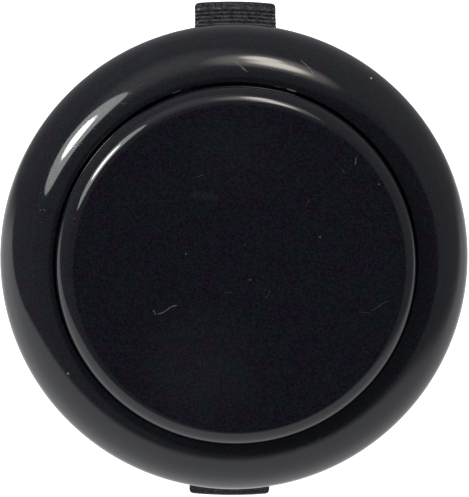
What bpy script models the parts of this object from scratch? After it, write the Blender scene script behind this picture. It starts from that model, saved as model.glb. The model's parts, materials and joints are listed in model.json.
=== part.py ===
"""A 30 mm snap-in push button with a lever microswitch, built as its separate pieces.

Units are metres. The origin lies on the button's axis in the plane of the panel's face. +Z points to
the finger and +Y to the upper snap tab. The terminals point down.
"""

from math import cos, pi, radians, sin

import bmesh
import bpy
from mathutils import Matrix, Vector

MM = 0.001
FIT = 0.3 * MM  # clearance kept between neighbouring pieces
MERGE = 0.001 * MM  # points closer than this are one point
TURN_STEPS = 72  # facets round a large turned piece
SMALL_STEPS = 20  # facets round a pin, a rivet or a hole
OVERSHOOT = 1 * MM  # how far a cutter goes past the face it opens

# Driving dimensions
TRAVEL = 2.2 * MM
BEZEL_RADIUS = 16.7 * MM
BEZEL_HEIGHT = 4.3 * MM
BEZEL_EDGE = 0.5 * MM  # height of the bezel's widest circle
BORE_RADIUS = 13.0 * MM
BARREL_RADIUS = 14.7 * MM
BARREL_BOTTOM = -21.5 * MM
PLUNGER_RADIUS = 12.67 * MM
PLUNGER_TOP = 6.35 * MM
PLUNGER_FILLET = 1.3 * MM
PLUNGER_BOTTOM = -9.0 * MM
SKIRT_WALL = 1.4 * MM
PLATE_WALL = 1.6 * MM
RING = (7.1 * MM, 7.9 * MM)  # inner and outer radius of the ring that centres the return spring
RING_DEPTH = 1.2 * MM
LEG_WIDTH = 6.0 * MM
LEG_SLIT = 0.8 * MM
LEG_SLIT_TOP = 1.5 * MM
TAB_WIDTH = 5.6 * MM
TAB_LIP_RADIUS = 18.0 * MM
TERMINAL_WIDTH = 2.8 * MM
TERMINAL_THICKNESS = 0.5 * MM
STEM_THICKNESS = 0.4 * MM  # of a terminal inside the holder and the case
TERMINAL_BOTTOM = -29.0 * MM
SOLDER_HOLE_RADIUS = 0.65 * MM
SOLDER_HOLE_Z = -26.6 * MM
TAIL_TOP = BARREL_BOTTOM - 0.5 * MM  # where a terminal's tail steps in to its stem

# Barrel openings
WINDOW_WIDTH = 8.8 * MM
WINDOW_TOP = -0.8 * MM
WINDOW_BOTTOM = -19.4 * MM
SLOT_WIDTH = 6.2 * MM
HOOK_TOP = -6.9 * MM
HOOK_REACH = 14.2 * MM
HOOK_LAND = 0.5 * MM  # upright face of a hook's or a barb's tip
BARB_TOP = -14.2 * MM
BARB_BOTTOM = -16.6 * MM

# Snap tabs. A pair holds the distance from the button's axis, then the height
TAB_PIVOT = (14.0 * MM, -18.8 * MM)
TAB_ROOT_OUTER, TAB_ROOT_INNER = 14.6 * MM, 13.3 * MM
TAB_RAMP = (14.75 * MM, -15.0 * MM)  # where the outer face starts to lean out to the lip
TAB_BEND = (13.3 * MM, -14.5 * MM)  # where the inner face starts to lean out
TAB_HOLLOW = (14.3 * MM, -5.6 * MM)
TAB_LIP_ROUND = 0.35 * MM
TAB_TOP = -1.2 * MM
TAB_LIP_Z = -4.1 * MM
TAB_TOP_OUTER, TAB_TOP_INNER = 15.2 * MM, 14.0 * MM
RIDGES = 9

# Switch holder
HOLDER_TOP = -6.9 * MM  # seat of the return spring
HOLDER_PLATE = 1.6 * MM
HOLDER_RADIUS = BORE_RADIUS - FIT
HOLDER_WALL = (7.7 * MM, 9.6 * MM)  # inner and outer radius of its two upright walls
HOLDER_SLOT = 4.3 * MM  # half the width of the space for the switch
HOLDER_STEP = 0.4 * MM  # how far the plate is sunk between the walls
ARM = (11.4 * MM, 12.4 * MM)  # inner and outer face of a barbed arm
ARM_WIDTH = 5.0 * MM

# Return spring
SPRING_RADIUS = 8.6 * MM
SPRING_WIRE = 0.3 * MM  # radius of the wire
SPRING_TURNS = 5.5
SPRING_END_RISE = 2.2 * SPRING_WIRE  # rise of the one flat turn at each end
SPRING_POINTS_PER_TURN = 18

# Switch case
CASE_HALF_LENGTH = 9.9 * MM
CASE_BACK = 3.2 * MM
CASE_FRONT = -2.2 * MM
CASE_TOP = -9.6 * MM
CASE_BOTTOM = -19.6 * MM
CASE_WALL = 1.0 * MM
CASE_ROOF = 0.9 * MM
COVER_FRONT = -3.2 * MM
PIN_X = 4.75 * MM
PIN_Z = -17.9 * MM
PIN_RADIUS = 0.9 * MM
PIN_LENGTH = 17.4 * MM
BOSS_RADIUS = 1.6 * MM
LUG_THICKNESS = 0.8 * MM

# Lever
LEVER_PIVOT = Vector((-8.6 * MM, 0.0, -8.3 * MM))
LEVER_ANGLE = radians(14.0)  # above level, at rest
LEVER_LENGTH = 13.4 * MM
LEVER_THICKNESS = 0.4 * MM
LEVER_WIDTH = 2.2 * MM
LEVER_PIN_RADIUS = 0.35 * MM
LEVER_PIN_LENGTH = 5.0 * MM
EYE_RADIUS = 0.95 * MM
EYE_BITE = 0.3  # half the angle, in radians, that the arm covers on the eye
POST_X = 3.0 * MM  # where the plunger's post meets the lever
POST_RADIUS = 1.6 * MM
POST_TIP_CENTRE = -3.24 * MM  # centre of the post's round end
ACTUATOR_X = -6.1 * MM
ACTUATOR_TOP = -8.4 * MM
ACTUATOR_DOME = 0.3 * MM
ACTUATOR_RADIUS = 0.7 * MM
ACTUATOR_FLANGE = (1.3 * MM, 0.4 * MM)  # radius and thickness
ACTUATOR_GAP = 0.8 * MM  # between it and the blade, at rest

# Contacts
COMMON_X = -7.9 * MM
OPEN_X = 1.2 * MM
CLOSED_X = 8.0 * MM
CONTACT_X = 6.0 * MM
CONTACT_RADIUS = 1.0 * MM
SHANK_RADIUS = 0.35 * MM
CONTACT_HEAD = 0.4 * MM
CLOSED_FOOT_END = 4.9 * MM
BLADE_TOP = -13.0 * MM
BLADE_THICKNESS = 0.3 * MM
BLADE_WIDTH = 2.6 * MM
BLADE_END = 7.2 * MM
BLADE_START = -7.3 * MM
SNAP_SPRING_ENDS = (-6.5 * MM, -0.3 * MM)
SNAP_SPRING_SAG = 1.9 * MM
SNAP_SPRING_THICKNESS = 0.25 * MM
SNAP_SPRING_WIDTH = 1.6 * MM
OPEN_FOOT_TOP = -15.5 * MM
CLOSED_FOOT_TOP = -10.8 * MM

# Where an outline drawn in x and y is stood up: its y becomes height
ACROSS_Y = Matrix.Rotation(pi / 2, 4, "X")  # its x stays along X, and it is thick along Y
ACROSS_X = Matrix(((0, 0, 1, 0), (1, 0, 0, 0), (0, 1, 0, 0), (0, 0, 0, 1)))  # x becomes Y


def clear_scene():
    for obj in list(bpy.data.objects):
        bpy.data.objects.remove(obj, do_unlink=True)


def new_collection(name):
    collection = bpy.data.collections.new(name)
    bpy.context.scene.collection.children.link(collection)
    return collection


def new_material(name, colour, roughness, metallic=0.0):
    material = bpy.data.materials.new(name)
    material.use_nodes = True
    shader = material.node_tree.nodes["Principled BSDF"]
    shader.inputs["Base Color"].default_value = (*colour, 1.0)
    shader.inputs["Roughness"].default_value = roughness
    shader.inputs["Metallic"].default_value = metallic
    material.diffuse_color = (*colour, 1.0)
    return material


clear_scene()
PARTS = new_collection("push_button")
TOOLS = new_collection("cutters")
GLOSS_BLACK = new_material("gloss_black", (0.012, 0.012, 0.015), 0.12)
MATT_BLACK = new_material("matt_black", (0.03, 0.03, 0.032), 0.5)
SWITCH_GREY = new_material("switch_grey", (0.07, 0.07, 0.075), 0.45)
ACTUATOR_RED = new_material("actuator_red", (0.45, 0.03, 0.02), 0.4)
SPRING_STEEL = new_material("spring_steel", (0.6, 0.6, 0.62), 0.3, 1.0)
TINNED_BRASS = new_material("tinned_brass", (0.75, 0.72, 0.66), 0.35, 1.0)
COPPER_ALLOY = new_material("copper_alloy", (0.72, 0.42, 0.24), 0.3, 1.0)
SILVER = new_material("silver", (0.88, 0.87, 0.84), 0.25, 1.0)


def add_object(name, data):
    obj = bpy.data.objects.new(name, data)
    PARTS.objects.link(obj)
    return obj


def finished(obj, material):
    """Gives a part its material and smooth rounds."""
    obj.data.materials.clear()
    obj.data.materials.append(material)
    if obj.type == "MESH" and obj.data.polygons:
        obj.data.shade_smooth()
        obj.data.set_sharp_from_angle(angle=radians(30))
    return obj


def boolean(obj, tool, operation):
    """Joins the tool to the object or cuts it away, and puts the tool with the cutters."""
    modifier = obj.modifiers.new(operation.title(), "BOOLEAN")
    modifier.operation = operation
    modifier.object = tool
    PARTS.objects.unlink(tool)
    TOOLS.objects.link(tool)
    tool.hide_render = True
    tool.display_type = "WIRE"


def cut(obj, *tools):
    for tool in tools:
        boolean(obj, tool, "DIFFERENCE")


def join(obj, *tools):
    for tool in tools:
        boolean(obj, tool, "UNION")


def box(name, x, y, z):
    """An upright box, from its lowest and highest x, y and z."""
    shape = bmesh.new()
    bmesh.ops.create_cube(shape, size=1.0)
    low, high = (Vector(corner) for corner in zip(x, y, z))
    bmesh.ops.scale(shape, vec=high - low, verts=shape.verts)
    bmesh.ops.translate(shape, vec=(low + high) / 2, verts=shape.verts)
    return from_bmesh(name, shape)


def rod(name, radius, centre, length, axis, steps=SMALL_STEPS):
    """A cylinder along the X, Y or Z axis."""
    shape = bmesh.new()
    bmesh.ops.create_cone(
        shape, cap_ends=True, segments=steps, radius1=radius, radius2=radius, depth=length
    )
    turns = {"X": Matrix.Rotation(pi / 2, 4, "Y"), "Y": Matrix.Rotation(pi / 2, 4, "X"), "Z": Matrix()}
    bmesh.ops.transform(shape, matrix=Matrix.Translation(centre) @ turns[axis], verts=shape.verts)
    return from_bmesh(name, shape)


def from_bmesh(name, shape):
    mesh = bpy.data.meshes.new(name)
    shape.to_mesh(mesh)
    shape.free()
    return add_object(name, mesh)


def turned(name, profile, steps=TURN_STEPS):
    """A turned shape about Z, from the (radius, height) points down its outer side.

    A profile that starts off the axis is a closed ring.
    """
    count = len(profile)
    edges = [(i, i + 1) for i in range(count - 1)]
    if profile[0][0] > 0:
        edges.append((count - 1, 0))
    mesh = bpy.data.meshes.new(name)
    mesh.from_pydata([(radius, 0.0, height) for radius, height in profile], edges, [])
    obj = add_object(name, mesh)
    screw = obj.modifiers.new("Turn", "SCREW")
    screw.steps = steps
    screw.render_steps = steps
    screw.use_merge_vertices = True
    screw.merge_threshold = MERGE
    return obj


def outline_solid(name, outline, thickness, stand, shift=0.0):
    """A flat outline made solid and stood up, with its middle moved along its own thickness."""
    curve = bpy.data.curves.new(name, "CURVE")
    curve.dimensions = "2D"
    curve.fill_mode = "BOTH"
    curve.extrude = thickness / 2
    spline = curve.splines.new("POLY")
    spline.points.add(len(outline) - 1)
    for point, (across, up) in zip(spline.points, outline):
        point.co = (across, up, 0.0, 1.0)
    spline.use_cyclic_u = True
    drawn = add_object(name + "_outline", curve)
    graph = bpy.context.evaluated_depsgraph_get()
    mesh = bpy.data.meshes.new_from_object(drawn.evaluated_get(graph))
    bpy.data.objects.remove(drawn, do_unlink=True)
    shape = bmesh.new()
    shape.from_mesh(mesh)
    bpy.data.meshes.remove(mesh)
    bmesh.ops.remove_doubles(shape, verts=shape.verts, dist=MERGE)
    bmesh.ops.recalc_face_normals(shape, faces=shape.faces)
    placed = stand @ Matrix.Translation((0.0, 0.0, shift))
    bmesh.ops.transform(shape, matrix=placed, verts=shape.verts)
    return from_bmesh(name, shape)


def arc(centre, radius, start, end, steps, height_radius=None):
    """Points round part of a circle, or of an ellipse with its own radius upwards."""
    up = height_radius or radius
    angles = [start + (end - start) * i / steps for i in range(steps + 1)]
    return [(centre[0] + radius * cos(a), centre[1] + up * sin(a)) for a in angles]


def bevelled(obj, width, segments=2):
    bevel = obj.modifiers.new("Round", "BEVEL")
    bevel.width = width
    bevel.segments = segments
    bevel.limit_method = "ANGLE"
    return obj


def pivoted(obj, point):
    """Moves the object's origin to a point without moving its shape."""
    obj.data.transform(Matrix.Translation(-Vector(point)))
    obj.location = point
    return obj


def make_body_shell():
    """The bezel and the barrel, one moulding with openings for the tabs, the hooks and the barbs."""
    widest = (BORE_RADIUS, BEZEL_EDGE)
    crown = arc(
        widest, BEZEL_RADIUS - BORE_RADIUS, pi / 2, 0.0, 12, height_radius=BEZEL_HEIGHT - BEZEL_EDGE
    )
    chamfer = 0.35 * MM
    foot = 0.5 * MM
    profile = crown + [
        (BEZEL_RADIUS, chamfer),
        (BEZEL_RADIUS - chamfer, 0.0),
        (BARREL_RADIUS, 0.0),
        (BARREL_RADIUS, BARREL_BOTTOM + foot),
        (BARREL_RADIUS - foot, BARREL_BOTTOM),
        (BORE_RADIUS, BARREL_BOTTOM),
    ]
    body = turned("body_shell", profile)
    near, far = BORE_RADIUS - OVERSHOOT, BARREL_RADIUS + OVERSHOOT
    for side in (1, -1):
        reach = sorted((side * near, side * far))
        half = WINDOW_WIDTH / 2
        cut(body, box("tab_window", (-half, half), reach, (WINDOW_BOTTOM, WINDOW_TOP)))
        half = SLOT_WIDTH / 2
        hook_slot = (PLUNGER_BOTTOM - TRAVEL - FIT / 2, HOOK_TOP + FIT)
        cut(body, box("hook_slot", reach, (-half, half), hook_slot))
        cut(body, box("barb_slot", reach, (-half, half), (BARB_BOTTOM - FIT, BARB_TOP)))
    return finished(body, GLOSS_BLACK)


def tab_outline():
    """Half section of a snap tab: a thin root, a ramp out to the lip, and a ridged slope back in."""
    lip_round = TAB_LIP_ROUND
    lip = arc((TAB_LIP_RADIUS - lip_round, TAB_LIP_Z), lip_round, -0.3 * pi, 0.45 * pi, 4)
    slope_low = Vector((TAB_LIP_RADIUS - 0.5 * MM, TAB_LIP_Z + 0.5 * MM))
    slope_high = Vector((TAB_TOP_OUTER, TAB_TOP))
    step = (slope_high - slope_low) / RIDGES
    ridges = []
    for i in range(RIDGES):
        foot = slope_low + step * i
        ridges.append(tuple(foot))
        ridges.append((foot.x, foot.y + step.y * 0.7))
    root = WINDOW_BOTTOM + FIT
    outer = [(TAB_ROOT_OUTER, root), TAB_RAMP]
    inner = [(TAB_TOP_INNER, TAB_TOP), TAB_HOLLOW, TAB_BEND, (TAB_ROOT_INNER, root)]
    return outer + lip + ridges + [tuple(slope_high)] + inner


def make_snap_tabs():
    """The two sprung tabs, each turned about its root low in the barrel."""
    upper = outline_solid("snap_tab_upper", tab_outline(), TAB_WIDTH, ACROSS_X)
    pivoted(upper, (0.0, TAB_PIVOT[0], TAB_PIVOT[1]))
    finished(upper, MATT_BLACK)
    lower = add_object("snap_tab_lower", upper.data)
    lower.location = (0.0, -TAB_PIVOT[0], TAB_PIVOT[1])
    lower.rotation_euler.z = pi
    return upper, lower


def make_plunger():
    """The button: a domed-edge cap with a skirt, two sprung hooks, and the post that works the lever."""
    inner = PLUNGER_RADIUS - SKIRT_WALL
    under = PLUNGER_TOP - PLATE_WALL
    ring_in, ring_out = RING
    fillet = arc(
        (PLUNGER_RADIUS - PLUNGER_FILLET, PLUNGER_TOP - PLUNGER_FILLET), PLUNGER_FILLET, pi / 2, 0.0, 6
    )
    profile = [(0.0, PLUNGER_TOP)] + fillet + [
        (PLUNGER_RADIUS, PLUNGER_BOTTOM),
        (inner, PLUNGER_BOTTOM),
        (inner, under),
        (ring_out, under),
        (ring_out, under - RING_DEPTH),
        (ring_in, under - RING_DEPTH),
        (ring_in, under),
        (0.0, under),
    ]
    plunger = turned("plunger", profile)
    past = PLUNGER_BOTTOM - OVERSHOOT
    reach = PLUNGER_RADIUS + OVERSHOOT
    notch_top = TAB_TOP + TRAVEL + 2 * FIT
    notch_half = TAB_WIDTH / 2 + 0.5 * MM
    leg_half = LEG_WIDTH / 2
    root = inner + 0.4 * MM  # inside the skirt's wall
    hook = [
        (root, HOOK_TOP),
        (HOOK_REACH, HOOK_TOP),
        (HOOK_REACH, HOOK_TOP - HOOK_LAND),
        (PLUNGER_RADIUS, PLUNGER_BOTTOM),
        (root, PLUNGER_BOTTOM),
    ]
    for side in (1, -1):
        wall = sorted((side * (inner - OVERSHOOT), side * reach))
        cut(plunger, box("tab_notch", (-notch_half, notch_half), wall, (past, notch_top)))
        gap = sorted((side * leg_half, side * (leg_half + LEG_SLIT)))
        cut(plunger, box("leg_slit", (-reach, reach), gap, (past, LEG_SLIT_TOP)))
        wedge = outline_solid("hook", hook, LEG_WIDTH - LEG_SLIT, ACROSS_Y)
        wedge.rotation_euler.z = 0.0 if side > 0 else pi
        join(plunger, wedge)
    tip = arc((0.0, POST_TIP_CENTRE), POST_RADIUS, 0.0, -pi / 2, 4)
    head = under + PLATE_WALL / 2
    post = turned("post", [(0.0, head), (POST_RADIUS, head)] + tip, SMALL_STEPS)
    post.location.x = POST_X
    join(plunger, post)
    return finished(plunger, GLOSS_BLACK)


def make_return_spring():
    """A compression coil with closed ends, between the holder's walls and the plunger's plate."""
    low = HOLDER_TOP + FIT + SPRING_WIRE
    high = PLUNGER_TOP - PLATE_WALL - FIT - SPRING_WIRE
    open_turns = SPRING_TURNS - 2
    open_rise = (high - low - 2 * SPRING_END_RISE) / open_turns
    curve = bpy.data.curves.new("return_spring", "CURVE")
    curve.dimensions = "3D"
    curve.bevel_depth = SPRING_WIRE
    curve.bevel_resolution = 2
    curve.use_fill_caps = True
    count = int(SPRING_TURNS * SPRING_POINTS_PER_TURN) + 1
    spline = curve.splines.new("POLY")
    spline.points.add(count - 1)
    for i, point in enumerate(spline.points):
        turn = SPRING_TURNS * i / (count - 1)
        middle = min(max(turn - 1, 0.0), open_turns)
        ends = min(turn, 1.0) + max(turn - 1 - open_turns, 0.0)
        rise = SPRING_END_RISE * ends + open_rise * middle
        angle = 2 * pi * turn
        point.co = (SPRING_RADIUS * cos(angle), SPRING_RADIUS * sin(angle), low + rise, 1.0)
    return finished(add_object("return_spring", curve), SPRING_STEEL)


def make_switch_holder():
    """The base that clips into the barrel, with two curved walls round the switch."""
    plate_top = BARREL_BOTTOM + HOLDER_PLATE
    inner, outer = HOLDER_WALL
    profile = [
        (0.0, plate_top - HOLDER_STEP),
        (inner, plate_top - HOLDER_STEP),
        (inner, HOLDER_TOP),
        (outer, HOLDER_TOP),
        (outer, plate_top),
        (HOLDER_RADIUS, plate_top),
        (HOLDER_RADIUS, BARREL_BOTTOM + 0.3 * MM),
        (HOLDER_RADIUS - 0.3 * MM, BARREL_BOTTOM),
        (0.0, BARREL_BOTTOM),
    ]
    holder = turned("switch_holder", profile)
    reach = HOLDER_RADIUS + OVERSHOOT
    aisle = (plate_top, HOLDER_TOP + OVERSHOOT)
    cut(holder, box("switch_aisle", (-reach, reach), (-HOLDER_SLOT, HOLDER_SLOT), aisle))
    arm_in, arm_out = ARM
    foot = BARREL_BOTTOM + 0.5 * MM
    arm = [
        (arm_in, foot),
        (arm_out, foot),
        (arm_out, BARB_BOTTOM),
        (HOOK_REACH, BARB_BOTTOM),
        (HOOK_REACH, BARB_BOTTOM + HOOK_LAND),
        (arm_out, BARB_TOP),
        (arm_in, BARB_TOP),
    ]
    for side in (1, -1):
        barb = outline_solid("barb_arm", arm, ARM_WIDTH, ACROSS_Y)
        barb.rotation_euler.z = 0.0 if side > 0 else pi
        join(holder, barb)
    for place in (COMMON_X, OPEN_X, CLOSED_X):
        cut(holder, terminal_slot(place, BARREL_BOTTOM - OVERSHOOT, plate_top + OVERSHOOT))
    for place in (-PIN_X, PIN_X):
        cut(holder, pin_hole(place))
    return finished(holder, MATT_BLACK)


def pin_hole(place):
    return rod("pin_hole", PIN_RADIUS + FIT, (place, 0.0, PIN_Z), 2 * HOLDER_RADIUS, "Y")


def terminal_slot(place, low, high):
    half_x = TERMINAL_THICKNESS / 2 + FIT
    half_y = TERMINAL_WIDTH / 2 + FIT
    return box("terminal_slot", (place - half_x, place + half_x), (-half_y, half_y), (low, high))


def make_switch_case():
    """The switch's tub, open on its front, with lugs for the lever's pin."""
    half = CASE_HALF_LENGTH
    case = box("switch_case", (-half, half), (CASE_FRONT, CASE_BACK), (CASE_BOTTOM, CASE_TOP))
    hollow_half = half - CASE_WALL
    hollow = box(
        "hollow",
        (-hollow_half, hollow_half),
        (CASE_FRONT - OVERSHOOT, CASE_BACK - CASE_WALL),
        (CASE_BOTTOM + CASE_WALL, CASE_TOP - CASE_ROOF),
    )
    cut(case, hollow)
    depth = CASE_BACK - CASE_FRONT
    middle = (CASE_BACK + CASE_FRONT) / 2
    for place in (-PIN_X, PIN_X):
        join(case, rod("boss", BOSS_RADIUS, (place, middle, PIN_Z), depth - 0.2 * MM, "Y"))
    lug_radius = LEVER_PIN_RADIUS + FIT + 0.5 * MM
    lug_foot = CASE_TOP - CASE_ROOF / 2
    lug = arc((LEVER_PIVOT.x, LEVER_PIVOT.z), lug_radius, 0.0, pi, 8) + [
        (LEVER_PIVOT.x - lug_radius, lug_foot),
        (LEVER_PIVOT.x + lug_radius, lug_foot),
    ]
    lug_middle = LEVER_WIDTH / 2 + FIT + LUG_THICKNESS / 2
    for side in (1, -1):
        join(case, outline_solid("lug", lug, LUG_THICKNESS, ACROSS_Y, side * lug_middle))
    for place in (-PIN_X, PIN_X):
        cut(case, pin_hole(place))
    for place in (COMMON_X, OPEN_X, CLOSED_X):
        cut(case, terminal_slot(place, CASE_BOTTOM - OVERSHOOT, CASE_BOTTOM + CASE_WALL + OVERSHOOT))
    cut(case, rod("lever_hole", LEVER_PIN_RADIUS + FIT, LEVER_PIVOT, 2 * LEVER_PIN_LENGTH, "Y"))
    actuator_hole = (ACTUATOR_X, 0.0, CASE_TOP - CASE_ROOF / 2)
    cut(case, rod("actuator_hole", ACTUATOR_RADIUS + FIT, actuator_hole, 2 * CASE_ROOF, "Z"))
    return finished(case, SWITCH_GREY)


def make_switch_cover():
    """The flat plate that closes the front of the case."""
    half = CASE_HALF_LENGTH
    depth = (COVER_FRONT, CASE_FRONT - FIT)
    cover = box("switch_cover", (-half, half), depth, (CASE_BOTTOM, CASE_TOP))
    for place in (-PIN_X, PIN_X):
        cut(cover, pin_hole(place))
    return finished(cover, SWITCH_GREY)


def make_switch_pins():
    """The pins through the holder's walls and the switch's two mounting holes."""
    for name, place in (("switch_pin_left", -PIN_X), ("switch_pin_right", PIN_X)):
        pin = rod(name, PIN_RADIUS, (place, 0.0, PIN_Z), PIN_LENGTH, "Y")
        finished(bevelled(pin, 0.2 * MM, 1), SPRING_STEEL)


def make_lever():
    """The sprung steel arm that turns about a pin on the case, and the pin."""
    half = LEVER_THICKNESS / 2
    eye = arc((0.0, 0.0), EYE_RADIUS, EYE_BITE, 2 * pi - EYE_BITE, 16)
    tip = arc((LEVER_LENGTH - half, 0.0), half, -pi / 2, pi / 2, 4)
    lever = outline_solid("switch_lever", eye + tip, LEVER_WIDTH, ACROSS_Y)
    cut(lever, rod("eye_hole", LEVER_PIN_RADIUS + FIT, LEVER_PIVOT, LEVER_PIN_LENGTH, "Y"))
    lever.location = LEVER_PIVOT
    lever.rotation_euler.y = -LEVER_ANGLE
    finished(lever, SPRING_STEEL)
    pin = rod("lever_pin", LEVER_PIN_RADIUS, LEVER_PIVOT, LEVER_PIN_LENGTH, "Y")
    return finished(pin, SPRING_STEEL)


def make_actuator():
    """The little button that the lever presses into the case."""
    flange_top = CASE_TOP - CASE_ROOF - FIT
    flange_radius, flange_depth = ACTUATOR_FLANGE
    stem = ACTUATOR_RADIUS
    bottom = BLADE_TOP + ACTUATOR_GAP
    dome = arc((0.0, ACTUATOR_TOP - ACTUATOR_DOME), stem, 1.0, 0.0, 2, ACTUATOR_DOME)
    profile = [(0.0, ACTUATOR_TOP)] + dome + [
        (stem, flange_top),
        (flange_radius, flange_top),
        (flange_radius, flange_top - flange_depth),
        (stem, flange_top - flange_depth),
        (stem, bottom),
        (0.0, bottom),
    ]
    actuator = turned("switch_actuator", profile, SMALL_STEPS)
    actuator.location.x = ACTUATOR_X
    return finished(actuator, ACTUATOR_RED)


def make_terminal(name, outline, place):
    """A bent strip with a solder hole in its tail."""
    terminal = outline_solid(name, outline, TERMINAL_WIDTH, ACROSS_Y)
    hole = rod("solder_hole", SOLDER_HOLE_RADIUS, (place, 0.0, SOLDER_HOLE_Z), 4 * OVERSHOOT, "X")
    cut(terminal, hole)
    return finished(terminal, TINNED_BRASS)


def tail_outline(place):
    """The tail below the holder, from the left of the stem round to its right."""
    half, stem = TERMINAL_THICKNESS / 2, STEM_THICKNESS / 2
    return [
        (place - stem, TAIL_TOP),
        (place - half, TAIL_TOP),
        (place - half, TERMINAL_BOTTOM),
        (place + half, TERMINAL_BOTTOM),
        (place + half, TAIL_TOP),
        (place + stem, TAIL_TOP),
    ]


def make_terminals():
    stem = STEM_THICKNESS / 2
    common = tail_outline(COMMON_X) + [
        (COMMON_X + stem, BLADE_TOP + 0.6 * MM),
        (COMMON_X - stem, BLADE_TOP + 0.6 * MM),
    ]
    open_foot = tail_outline(OPEN_X) + [
        (OPEN_X + stem, OPEN_FOOT_TOP - TERMINAL_THICKNESS),
        (BLADE_END, OPEN_FOOT_TOP - TERMINAL_THICKNESS),
        (BLADE_END, OPEN_FOOT_TOP),
        (OPEN_X - stem, OPEN_FOOT_TOP),
    ]
    closed_foot = tail_outline(CLOSED_X) + [
        (CLOSED_X + stem, CLOSED_FOOT_TOP),
        (CLOSED_FOOT_END, CLOSED_FOOT_TOP),
        (CLOSED_FOOT_END, CLOSED_FOOT_TOP - TERMINAL_THICKNESS),
        (CLOSED_X - stem, CLOSED_FOOT_TOP - TERMINAL_THICKNESS),
    ]
    make_terminal("common_terminal", common, COMMON_X)
    for name, outline, place, foot_top in (
        ("open_terminal", open_foot, OPEN_X, OPEN_FOOT_TOP),
        ("closed_terminal", closed_foot, CLOSED_X, CLOSED_FOOT_TOP),
    ):
        terminal = make_terminal(name, outline, place)
        cut(terminal, rivet_hole(foot_top - TERMINAL_THICKNESS / 2))


def rivet_hole(height):
    return rod("rivet_hole", SHANK_RADIUS + FIT, (CONTACT_X, 0.0, height), 2 * OVERSHOOT, "Z")


def contact_rivet(name, profile):
    rivet = turned(name, profile, SMALL_STEPS)
    rivet.location.x = CONTACT_X
    return finished(rivet, SILVER)


def make_contacts():
    """The silver rivets: one on each fixed terminal, and a two-headed one through the blade."""
    open_top = OPEN_FOOT_TOP + FIT + CONTACT_HEAD
    contact_rivet(
        "open_contact",
        [
            (0.0, open_top),
            (CONTACT_RADIUS, open_top),
            (CONTACT_RADIUS, open_top - CONTACT_HEAD),
            (SHANK_RADIUS, open_top - CONTACT_HEAD),
            (SHANK_RADIUS, OPEN_FOOT_TOP - TERMINAL_THICKNESS),
            (0.0, OPEN_FOOT_TOP - TERMINAL_THICKNESS),
        ],
    )
    head_top = CLOSED_FOOT_TOP - TERMINAL_THICKNESS - FIT
    contact_rivet(
        "closed_contact",
        [
            (0.0, CLOSED_FOOT_TOP),
            (SHANK_RADIUS, CLOSED_FOOT_TOP),
            (SHANK_RADIUS, head_top),
            (CONTACT_RADIUS, head_top),
            (CONTACT_RADIUS, head_top - CONTACT_HEAD),
            (0.0, head_top - CONTACT_HEAD),
        ],
    )
    upper = BLADE_TOP + FIT
    lower = BLADE_TOP - BLADE_THICKNESS - FIT
    contact_rivet(
        "moving_contact",
        [
            (0.0, upper + CONTACT_HEAD),
            (CONTACT_RADIUS, upper + CONTACT_HEAD),
            (CONTACT_RADIUS, upper),
            (SHANK_RADIUS, upper),
            (SHANK_RADIUS, lower),
            (CONTACT_RADIUS, lower),
            (CONTACT_RADIUS, lower - CONTACT_HEAD),
            (0.0, lower - CONTACT_HEAD),
        ],
    )


def make_contact_blade():
    """The sprung blade that turns about the common terminal."""
    half = BLADE_WIDTH / 2
    heights = (BLADE_TOP - BLADE_THICKNESS, BLADE_TOP)
    blade = box("contact_blade", (BLADE_START, BLADE_END), (-half, half), heights)
    cut(blade, rivet_hole(BLADE_TOP - BLADE_THICKNESS / 2))
    pivoted(blade, (BLADE_START, 0.0, BLADE_TOP - BLADE_THICKNESS / 2))
    return finished(blade, COPPER_ALLOY)


def make_snap_spring():
    """The bowed strip under the blade that makes it snap across."""
    sag, strip = SNAP_SPRING_SAG, SNAP_SPRING_THICKNESS
    start, end = SNAP_SPRING_ENDS
    half = (end - start) / 2
    centre = ((start + end) / 2, BLADE_TOP - BLADE_THICKNESS - FIT)
    outer = arc(centre, half, pi, 2 * pi, 14, height_radius=sag)
    inner = arc(centre, half - strip, 2 * pi, pi, 14, height_radius=sag - strip)
    strip_solid = outline_solid("snap_spring", outer + inner, SNAP_SPRING_WIDTH, ACROSS_Y)
    return finished(strip_solid, COPPER_ALLOY)


make_body_shell()
make_snap_tabs()
make_plunger()
make_return_spring()
make_switch_holder()
make_switch_case()
make_switch_cover()
make_switch_pins()
make_lever()
make_actuator()
make_terminals()
make_contacts()
make_contact_blade()
make_snap_spring()
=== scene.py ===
"""The looks of the snap-in push button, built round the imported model. Units are metres."""

import json
from math import cos, pi, radians, sin, sqrt, tan

import bmesh
import bpy
from mathutils import Matrix, Vector


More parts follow.
